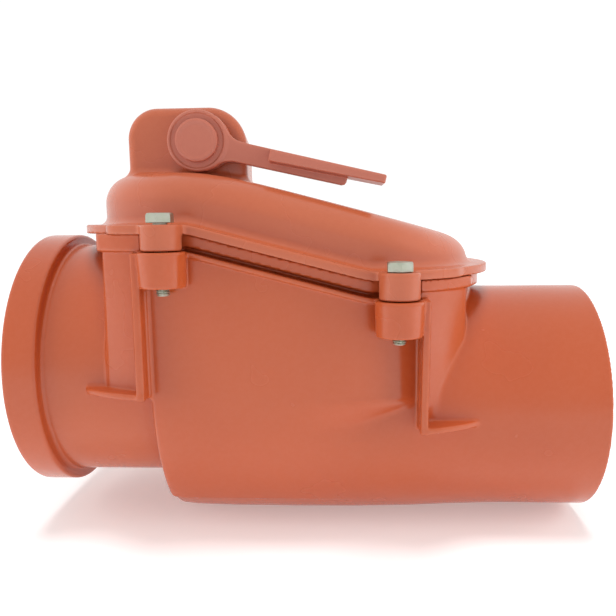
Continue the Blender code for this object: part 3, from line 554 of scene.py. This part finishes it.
# ------------------------------------------------------------------- materials
class Graph:
    def __init__(self, name):
        self.m = bpy.data.materials.new(name)
        self.m.use_nodes = True
        self.n, self.l = self.m.node_tree.nodes, self.m.node_tree.links
        self.bsdf = self.n["Principled BSDF"]
        self.place = self.n.new('ShaderNodeTexCoord')

    def noise(self, scale, detail=3.0, rough=0.5, stretch=None):
        t = self.n.new('ShaderNodeTexNoise')
        t.inputs["Scale"].default_value = scale
        t.inputs["Detail"].default_value = detail
        t.inputs["Roughness"].default_value = rough
        source = self.place.outputs["Object"]
        if stretch:
            mp = self.n.new('ShaderNodeMapping')
            mp.inputs["Scale"].default_value = stretch
            self.l.new(source, mp.inputs["Vector"])
            source = mp.outputs["Vector"]
        self.l.new(source, t.inputs["Vector"])
        return t.outputs["Fac"]

    def span(self, value, a, b, c, d):
        r = self.n.new('ShaderNodeMapRange')
        for key, v in zip(("From Min", "From Max", "To Min", "To Max"), (a, b, c, d)):
            r.inputs[key].default_value = v
        self.l.new(value, r.inputs["Value"])
        return r.outputs["Result"]

    def mix(self, fac, one, two):
        x = self.n.new('ShaderNodeMix')
        x.data_type = 'RGBA'
        self.l.new(fac, x.inputs[0])
        for key, v in ((6, one), (7, two)):
            if isinstance(v, tuple):
                x.inputs[key].default_value = (*v, 1.0)
            else:
                self.l.new(v, x.inputs[key])
        return x.outputs[2]

    def attribute(self, name):
        a = self.n.new('ShaderNodeAttribute')
        a.attribute_name = name
        return a.outputs["Fac"]

    def bump(self, height, strength, distance, under=None):
        b = self.n.new('ShaderNodeBump')
        b.inputs["Strength"].default_value = strength
        b.inputs["Distance"].default_value = distance
        self.l.new(height, b.inputs["Height"])
        if under is not None:
            self.l.new(under, b.inputs["Normal"])
        return b.outputs["Normal"]

    def put(self, key, value):
        if isinstance(value, (int, float)):
            self.bsdf.inputs[key].default_value = value
        else:
            self.l.new(value, self.bsdf.inputs[key])


def pvc(name, base, painted_corner_shade_colour, pale, rough=0.27):
    """Moulded pipe plastic: satin, faintly mottled, with painted shade darkening its corners and a painted highlight
    paling its thin edges.
    """
    g = Graph(name)
    cloud = g.span(g.noise(9.0, 2.0), 0.35, 0.65, 0.0, 1.0)
    colour = g.mix(cloud, base, tuple(c * k for c, k in zip(base, (0.95, 0.90, 0.88))))
    grain = g.span(g.noise(420.0, 4.0, 0.6), 0.40, 0.62, 0.0, 0.10)
    colour = g.mix(grain, colour, pale)
    # painted shade: the colour darkens towards the corner shade colour where the mesh lies closed in a corner
    colour = g.mix(g.span(g.attribute("corner"), 0.30, 0.95, 0.0, 0.22), colour, painted_corner_shade_colour)
    # painted highlight: thin edges pale towards the pale tone, which also tints the fine random grain above
    colour = g.mix(g.span(g.attribute("rim"), 0.10, 0.55, 0.0, 0.26), colour, pale)
    g.put("Base Color", colour)
    g.put("Roughness", g.span(g.noise(30.0, 3.0), 0.3, 0.7, rough - 0.035, rough + 0.05))
    peel = g.bump(g.noise(55.0, 2.0), 0.10, 0.0012)
    g.put("Normal", g.bump(g.noise(900.0, 3.0, 0.6), 0.055, 0.00022, peel))
    g.put("IOR", 1.55)
    return g.m


def zinc(name, base, rough=0.30):
    g = Graph(name)
    tint = g.span(g.noise(260.0, 4.0), 0.35, 0.65, 0.0, 1.0)
    g.put("Base Color", g.mix(tint, base, tuple(c * k for c, k in zip(base, (0.86, 0.90, 0.84)))))
    g.put("Metallic", 0.92)
    g.put("Roughness", g.span(g.noise(700.0, 3.0), 0.3, 0.7, rough - 0.08, rough + 0.12))
    g.put("Normal", g.bump(g.noise(1500.0, 4.0, 0.6), 0.12, 0.0001))
    return g.m


def rubber(name):
    g = Graph(name)
    g.put("Base Color", g.mix(g.span(g.noise(90.0, 3.0), 0.3, 0.7, 0.0, 1.0), (0.018, 0.018, 0.019), (0.034, 0.033, 0.033)))
    g.put("Roughness", g.span(g.noise(260.0, 3.0), 0.3, 0.7, 0.52, 0.70))
    g.put("Normal", g.bump(g.noise(1600.0, 4.0, 0.65), 0.25, 0.00012))
    return g.m


def white_plastic(name, base):
    g = Graph(name)
    colour = g.mix(g.span(g.noise(14.0, 2.0), 0.35, 0.65, 0.0, 1.0), base, tuple(c * k for c, k in zip(base, (0.95, 0.94, 0.90))))
    colour = g.mix(g.span(g.noise(520.0, 3.0), 0.45, 0.65, 0.0, 0.12), colour, (0.55, 0.53, 0.48))
    g.put("Base Color", colour)
    g.put("Roughness", g.span(g.noise(60.0, 3.0), 0.3, 0.7, 0.36, 0.47))
    g.put("Normal", g.bump(g.noise(1100.0, 3.0, 0.6), 0.08, 0.00015))
    return g.m


PVC_BODY = pvc("pvc_body", (0.490, 0.0875, 0.0215), (0.38, 0.058, 0.014), (0.55, 0.140, 0.058), 0.24)
# the cover and lever are lighter and pinker than the body; part of this is painted light, brightening hub and lever
# faces that the lamps leave dim
PVC_COVER = pvc("pvc_cover", (0.502, 0.119, 0.050), (0.38, 0.064, 0.020), (0.56, 0.155, 0.072), 0.26)
PVC_LEVER = pvc("pvc_lever", (0.490, 0.144, 0.092), (0.35, 0.072, 0.036), (0.55, 0.180, 0.110), 0.30)
ZINC = zinc("zinc_plate", (0.47, 0.48, 0.41), 0.36)
STEEL = zinc("inner_steel", (0.60, 0.60, 0.59), 0.24)
RUBBER = rubber("black_rubber")
WHITE = white_plastic("white_plastic", (0.74, 0.73, 0.69))


def dress(ob, mat):
    ob.data.materials.clear()
    ob.data.materials.append(mat)
    return ob


def stand_for(ob, node, body, mat):
    dress(ob, mat)
    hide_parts(node)
    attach(ob, body)
    return ob


# ----------------------------------------------------------------- the pieces
body = moulded("valve_body_shell", body_f, (-268, -85, -60), (2, 85, 86), 1.1, body_inner, 0.62)
stand_for(body, "valve_body", "housing", PVC_BODY)
cover = moulded("valve_cover_shell", cover_f, (-245, -84, 54), (-43, 84, 143), 0.86)
stand_for(cover, "valve_cover", "housing", PVC_COVER)
lever = moulded("hand_lever", lever_f, (-196, -50, 88), (-92, -21, 139), 0.4)
stand_for(lever, "lever", "lever_assembly", PVC_LEVER)

cap = turned("lever_cap", rounded([(-37.4, 0), (-37.4, 7.0), (-38.7, 7.2), (-38.7, 9.45), (-41.1, 9.35), (-41.4, 8.3), (-41.05, 6.8), (-41.0, 0)],
                                  [0, 0.1, 0.1, 0.15, 0.7, 0.5, 0.8, 0], 5, False), along_y(*SP), 128, sharp=50)
stand_for(cap, "spindle_cap", "lever_assembly", PVC_LEVER)

BOLT_ORDER = [(-190.0, -72.0, 88.4), (-190.0, 72.0, 88.4), (-94.0, -72.0, 67.9), (-94.0, 72.0, 67.9)]


def bolt(name, bx, by, land):
    """Hex bolt: bevelled head with a shallow dish, shank, and a cut thread."""
    head0 = land + 0.42
    place = along_z(bx, by)
    n = 48
    # the head is a hexagon whose corners are cut back by a cone at the top
    af, height = 5.0, 4.0
    verts, faces = [], []
    ang = [2 * math.pi * k / n + math.pi / 2 for k in range(n)]

    def hex_r(a):
        b = (a - math.pi / 2 + math.pi / 6) % (math.pi / 3) - math.pi / 6
        # corners at pi/2 + k*60 degrees
        return af / math.cos(math.pi / 6 - abs(b))

    levels = [(head0, -0.25), (head0 + 0.2, 0.0), (head0 + height - 1.15, 0.0), (head0 + height - 0.55, 0.0), (head0 + height - 0.12, 1.0),
              (head0 + height, 1.4), (head0 + height - 0.22, 2.2)]
    rows = []
    for z, back in levels:
        row = []
        for a in ang:
            r = hex_r(a)
            if back > 0:
                r = min(r, 5.62 - (back - 1.0) * 0.9)
                r = min(r, 5.0 - (back - 1.0) * 0.75) if back > 1.0 else min(r, 5.15)
            elif back < 0:
                r += back
            elif z > head0 + height - 0.6:
                r = min(r, 5.55)
            row.append(len(verts))
            verts.append(place(z, r * math.cos(a), r * math.sin(a)))
        rows.append(row)
    for a, b in zip(rows, rows[1:]):
        for k in range(n):
            faces.append([a[k], a[(k + 1) % n], b[(k + 1) % n], b[k]])
    mid = len(verts)
    verts.append(place(head0 + height - 0.3, 0, 0))
    faces += [[rows[-1][k], rows[-1][(k + 1) % n], mid] for k in range(n)]
    # shank down to the tip, threaded over its lower half by a helix
    foot = land - 29.2
    pitch, turns_n = 1.0, 20
    seg = 24
    start = None
    shank = []
    steps = int((head0 - foot) / (pitch / 6))
    for i in range(steps + 1):
        z = head0 - i * pitch / 6
        row = []
        for k in range(seg):
            a = 2 * math.pi * k / seg
            ph = (z / pitch + k / seg) % 1.0
            cut = 0.0 if z > land - 6 else 0.55 * (1 - abs(2 * ph - 1))
            r = 2.92 - cut
            if z < foot + 0.8:
                r = min(r, 2.2 + (z - foot) * 0.9)
            row.append(len(verts))
            verts.append(place(max(z, foot), r * math.cos(a), r * math.sin(a)))
        shank.append(row)
    for a, b in zip(shank, shank[1:]):
        for k in range(seg):
            faces.append([a[k], b[k], b[(k + 1) % seg], a[(k + 1) % seg]])
    end = len(verts)
    verts.append(place(foot, 0, 0))
    faces += [[shank[-1][(k + 1) % seg], shank[-1][k], end] for k in range(seg)]
    # the head's underside, from its rim in to the shank
    under = rows[0]
    ring = shank[0]
    for k in range(n):
        j, j2 = (k * seg // n), ((k + 1) * seg // n) % seg
        shift = seg // 4
        a, b = ring[(j + shift) % seg], ring[(j2 + shift) % seg]
        if a == b:
            faces.append([under[(k + 1) % n], under[k], a])
        else:
            faces.append([under[(k + 1) % n], under[k], a, b])
    import bmesh
    me = bpy.data.meshes.new(name)
    me.from_pydata([tuple(c * MM for c in v) for v in verts], [], faces)
    bm = bmesh.new()
    bm.from_mesh(me)
    bmesh.ops.recalc_face_normals(bm, faces=bm.faces)
    bm.to_mesh(me)
    bm.free()
    me.shade_smooth()
    me.set_sharp_from_angle(angle=math.radians(24))
    ob = bpy.data.objects.new(name, me)
    bpy.context.scene.collection.objects.link(ob)
    return ob


for i, (bx, by, land) in enumerate(BOLT_ORDER):
    stand_for(bolt("hex_bolt_%d" % (i + 1), bx, by, land), "cover_bolt_%d" % (i + 1), "housing", ZINC)

seal_line = rounded([(-262.25, 59.55), (-253.55, 59.55), (-253.55, 57.0), (-254.8, 54.3), (-256.2, 53.6), (-259.2, 55.2), (-260.6, 54.7),
                     (-262.25, 55.6)], [0.4, 0.4, 0.6, 0.8, 0.7, 1.0, 0.6, 0.5], 4)
stand_for(turned("socket_seal", seal_line, along_x(0, INLET_Z), 160, True, sharp=40), "socket_seal_ring", "housing", RUBBER)
flap_seal_line = rounded([(2.8, 35.0), (2.8, 54.0), (4.6, 53.9), (5.45, 52.6), (4.4, 50.2), (4.4, 35.0)], [0.3, 0.4, 0.5, 0.4, 0.5, 0.2], 4)
stand_for(turned("flap_seal_disc", flap_seal_line, on_flap(59.8, 0), 128, True, sharp=40), "flap_seal", "flap_assembly", RUBBER)
keeper_line = rounded([(4.7, 36.0), (4.7, 48.6), (6.6, 48.4), (6.6, 36.0)], [0.15, 0.3, 0.6, 0.4], 4)
stand_for(turned("keeper_ring", keeper_line, on_flap(59.8, 0), 128, True, sharp=40), "seal_keeper_ring", "flap_assembly", STEEL)

LOOKS = {"steel": ZINC, "rubber": RUBBER, "light_plastic": WHITE, "flap_plastic": WHITE,
         "body_plastic": PVC_BODY, "cover_plastic": PVC_COVER, "lever_plastic": PVC_LEVER}
slot_of = {d["node"]: d["material_slot"] for d in frame["record"]["subparts"]}
for name, ob in frame["nodes"].items():
    if ob.hide_render:
        continue
    mat = LOOKS[slot_of[name]]
    if slot_of[name] == "steel" and not name.startswith("bolt_nut"):
        mat = STEEL
    if not ob.data.materials:
        ob.data.materials.append(mat)
    for s in ob.material_slots:
        s.material = mat
    bevel = ob.modifiers.new("edge", 'BEVEL')
    bevel.width = 0.00028 if name in ("flap_plate", "lock_cam") else 0.00012
    bevel.segments = 2
    bevel.limit_method = 'ANGLE'
    bevel.angle_limit = math.radians(38)
    bevel.use_clamp_overlap = True
    ob.data.shade_smooth()
    ob.data.set_sharp_from_angle(angle=math.radians(32))

# ------------------------------------------------------------ floor and light
scene = bpy.context.scene
scene.view_settings.view_transform = 'Standard'
scene.view_settings.look = 'None'
scene.view_settings.exposure = 0.0
scene.view_settings.gamma = 1.0

floor_z = cad_lo.z - 0.0002
floor_mesh = bpy.data.meshes.new("floor")
floor_mesh.from_pydata([(-6, -6, floor_z), (6, -6, floor_z), (6, 6, floor_z), (-6, 6, floor_z)], [], [(0, 1, 2, 3)])
floor = bpy.data.objects.new("floor", floor_mesh)
scene.collection.objects.link(floor)
g = Graph("floor_white")
g.put("Base Color", g.mix(g.span(g.noise(3.0, 2.0), 0.3, 0.7, 0.0, 1.0), (0.93, 0.93, 0.93), (0.90, 0.90, 0.90)))
g.put("Roughness", 0.9)
g.bsdf.inputs["Specular IOR Level"].default_value = 0.1
# the pale table glows a little, like a light table
g.bsdf.inputs["Emission Color"].default_value = (1.0, 1.0, 1.0, 1.0)
g.bsdf.inputs["Emission Strength"].default_value = 0.29
dress(floor, g.m)

world = bpy.data.worlds.new("studio")
scene.world = world
world.use_nodes = True
wn, wl = world.node_tree.nodes, world.node_tree.links
plain = wn["Background"]
plain.inputs["Color"].default_value = (1.0, 1.0, 1.0, 1.0)
plain.inputs["Strength"].default_value = 0.42
white = wn.new('ShaderNodeBackground')
white.inputs["Color"].default_value = (1.0, 1.0, 1.0, 1.0)
white.inputs["Strength"].default_value = 1.05
seen, both = wn.new('ShaderNodeLightPath'), wn.new('ShaderNodeMixShader')
clear = wn.new('ShaderNodeMath')
clear.operation = 'MAXIMUM'
wl.new(seen.outputs["Is Camera Ray"], clear.inputs[0])
wl.new(seen.outputs["Is Glossy Ray"], clear.inputs[1])
wl.new(clear.outputs[0], both.inputs[0])
wl.new(plain.outputs[0], both.inputs[1])
wl.new(white.outputs[0], both.inputs[2])
wl.new(both.outputs[0], wn["World Output"].inputs["Surface"])


def aimed(ob, where, aim):
    ob.location = where
    ob.rotation_mode = 'QUATERNION'
    ob.rotation_quaternion = (Vector(aim) - Vector(where)).to_track_quat('-Z', 'Y')
    scene.collection.objects.link(ob)
    return ob


def softbox(name, where, aim, size, power):
    light = bpy.data.lights.new(name, 'AREA')
    light.shape = 'RECTANGLE'
    light.size, light.size_y = size
    light.energy = power
    ob = aimed(bpy.data.objects.new(name, light), where, aim)
    ob.visible_glossy = False
    return ob


def overhead(name, where, aim, strength, spread):
    light = bpy.data.lights.new(name, 'SUN')
    light.energy = strength
    light.angle = math.radians(spread)
    ob = aimed(bpy.data.objects.new(name, light), where, aim)
    ob.visible_glossy = False
    return ob


CENTRE = (-0.13, 0.0, 0.03)
overhead("top_light", (-0.14, -0.07, 0.90), CENTRE, 1.68, 24)
softbox("left_box", (-0.95, -0.24, 0.25), CENTRE, (0.5, 0.7), 3.1)
softbox("right_box", (0.62, -0.22, 0.25), CENTRE, (0.4, 0.7), 3.0)

# --------------------------------------------------------------------- camera
cam_data = bpy.data.cameras.new("camera")
cam = bpy.data.objects.new("camera", cam_data)
scene.collection.objects.link(cam)
right = Vector((0.99867, 0.04997, -0.01284))
up = Vector((0.00496, 0.15483, 0.98793))
back = right.cross(up).normalized()
up = back.cross(right).normalized()
right.normalize()
turn = Matrix((right, up, back)).transposed()
cam.rotation_mode = 'QUATERNION'
cam.rotation_quaternion = turn.to_quaternion()
cam.location = (-0.1171, -0.339, 0.0896)
cam_data.sensor_width = 36.0
cam_data.lens = 38.92
cam_data.shift_x = 0.0
cam_data.shift_y = 0.02435
cam_data.clip_start, cam_data.clip_end = 0.01, 50.0
cam_data.dof.use_dof = False
scene.camera = cam
